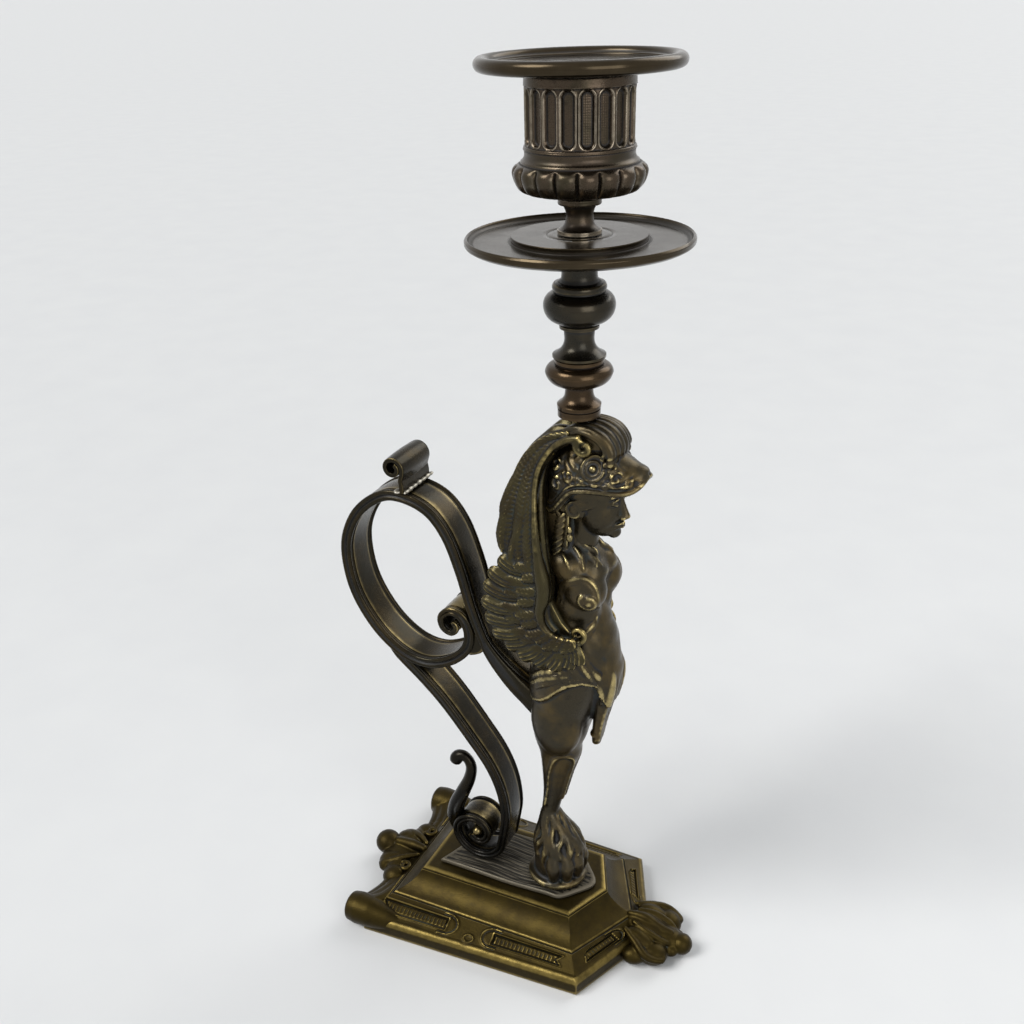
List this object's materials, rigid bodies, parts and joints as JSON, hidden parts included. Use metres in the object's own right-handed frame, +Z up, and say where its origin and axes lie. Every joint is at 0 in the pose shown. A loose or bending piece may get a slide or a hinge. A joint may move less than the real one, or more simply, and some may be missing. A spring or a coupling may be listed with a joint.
{
  "type": "candlestick",
  "caption": "Cast brass candlestick: winged helmeted half figure on a lion's leg, scrolled ring handle, stepped plinth, turned stem, drip pan, fluted cup and loose nozzle.",
  "frame": {"origin": "middle of the bounding box in X and Y, on the surface that the plinth stands on", "axes": "+Z up along the stem, +X the way the figure faces, +Y to the figure's left; the stem's axis is 21.25 mm ahead of the origin"},
  "size_m": [0.1289, 0.077, 0.2891],
  "materials": {
    "base_brass": "worn olive-gold cast brass with green and dark dirt in its grooves",
    "figure_bronze": "dark brown-black patina, rubbed to gold on high edges",
    "stem_brown": "semi-gloss dark olive-brown lacquered patina on turned brass",
    "screw_brass": "plain turned brass, hidden"
  },
  "bodies": {
    "root": {"base": "base_brass", "ground_plate": "figure_bronze", "figure": "figure_bronze", "tail_handle": "figure_bronze", "thumb_scroll": "figure_bronze", "lower_knop": "stem_brown", "upper_baluster": "stem_brown", "drip_pan": "stem_brown", "candle_cup": "stem_brown", "nozzle": "stem_brown", "stem_rod": "screw_brass", "paw_screw": "screw_brass", "tail_screw": "screw_brass"}
  },
  "joints": []
}
